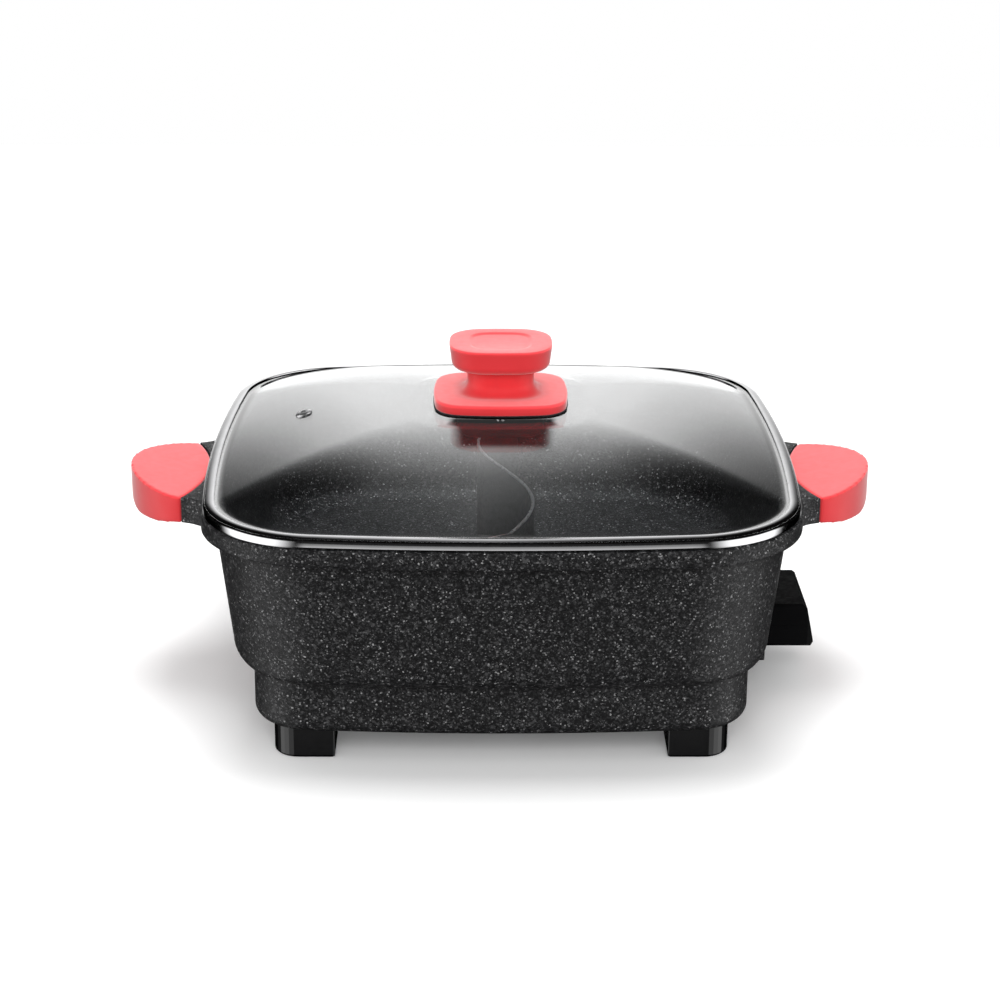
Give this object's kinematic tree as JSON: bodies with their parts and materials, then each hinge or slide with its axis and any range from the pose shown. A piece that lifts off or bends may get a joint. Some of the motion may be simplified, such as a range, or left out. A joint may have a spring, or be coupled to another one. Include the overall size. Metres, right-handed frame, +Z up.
{
  "type": "electric hot pot",
  "caption": "Square electric hot pot with a curved divider, red grips and knob, a domed glass lid that lifts off, and a plug-in thermostat with a dial.",
  "frame": {"origin": "on the surface the pot stands on, under the middle of its footprint", "axes": "+X to the right through the right handle and the thermostat plug, -Y to the front, +Z up"},
  "size_m": [0.392, 0.307, 0.1847],
  "materials": {
    "granite_coating": "cast aluminium with a dark stone-look non-stick coating, pale speckles, satin",
    "coated_sheet": "thin sheet with a dark non-stick coating on its faces, bare along its upper edge",
    "bare_aluminium": "satin",
    "red_silicone": "smooth satin silicone",
    "element_steel": "dull, heat-darkened",
    "contact_metal": "plated, bright",
    "black_plastic": "fine matt grain",
    "screw_steel": "zinc plated",
    "base_steel": "semi-matt black",
    "gloss_black": "moulded, glossy",
    "clear_glass": "clear tempered",
    "rim_steel": "polished stainless steel",
    "black_rubber": "matt",
    "ceramic_white": "heat-proof moulding",
    "probe_steel": "polished stainless steel",
    "switch_brown": "phenolic moulding",
    "pilot_red": "translucent"
  },
  "bodies": {
    "pot": {"pan": "granite_coating", "divider": "coated_sheet", "handle_sleeve_left": "red_silicone", "handle_sleeve_right": "red_silicone", "heating_element": "element_steel", "terminal_pins": "contact_metal", "terminal_socket": "black_plastic", "socket_screws": "screw_steel", "probe_guide": "bare_aluminium", "base_plate": "base_steel", "base_plate_screws": "screw_steel", "foot_front_left": "gloss_black", "foot_front_right": "gloss_black", "foot_rear_left": "gloss_black", "foot_rear_right": "gloss_black", "foot_screws": "screw_steel"},
    "lid": {"lid_glass": "clear_glass", "lid_rim": "rim_steel", "steam_vent": "rim_steel", "knob_gasket": "black_rubber", "knob_base": "red_silicone", "knob_head": "red_silicone", "knob_mount": "black_plastic", "knob_screw": "screw_steel"},
    "plug": {"plug_top_shell": "gloss_black", "plug_bottom_shell": "gloss_black", "plug_screws": "screw_steel", "contact_holder": "ceramic_white", "contact_sleeves": "contact_metal", "probe_rod": "probe_steel", "thermostat_switch": "switch_brown", "pilot_lens": "pilot_red", "cord_gland": "black_rubber"},
    "dial_knob": {"dial": "black_plastic", "dial_shaft": "screw_steel"}
  },
  "joints": [
    {"name": "lid_lift", "type": "slide", "parent": "pot", "child": "lid", "axis": [0, 0, 1], "range_m": [0, 0.12]},
    {"name": "plug_pull", "type": "slide", "parent": "pot", "child": "plug", "axis": [1, 0, 0], "range_m": [0, 0.09]},
    {"name": "dial_turn", "type": "hinge", "parent": "plug", "child": "dial_knob", "pos_m": [0.16625, 0, 0.0345], "axis": [0.9781, 0, 0.2079], "range_deg": [0, 270]}
  ]
}
